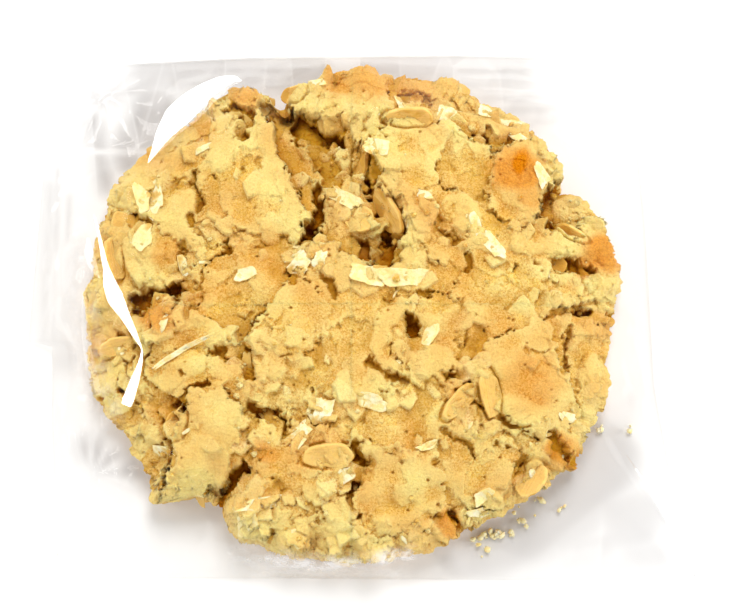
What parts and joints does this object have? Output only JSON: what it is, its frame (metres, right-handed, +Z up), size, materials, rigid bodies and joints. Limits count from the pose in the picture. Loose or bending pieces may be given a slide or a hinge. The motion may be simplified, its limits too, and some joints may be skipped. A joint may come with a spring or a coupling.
{
  "type": "toasted coconut cookie",
  "caption": "Round golden baked cookie with cracked crust, rolled oat flakes and toasted coconut chips, lying in a clear film bag",
  "frame": {"origin": "centre of the bag's flat base, on the surface the cookie lies on", "axes": "+X to the right along the bag's longer side, +Y away from the viewer, +Z up through the cookie"},
  "size_m": [0.1196, 0.096, 0.0177],
  "materials": {
    "baked_crust": "matt golden baked dough with paler coconut and oat pieces; stands in for food",
    "clear_film": "thin clear glossy film, slightly crumpled"
  },
  "bodies": {
    "root": {"cookie": "baked_crust", "film_bag": "clear_film"}
  },
  "joints": []
}
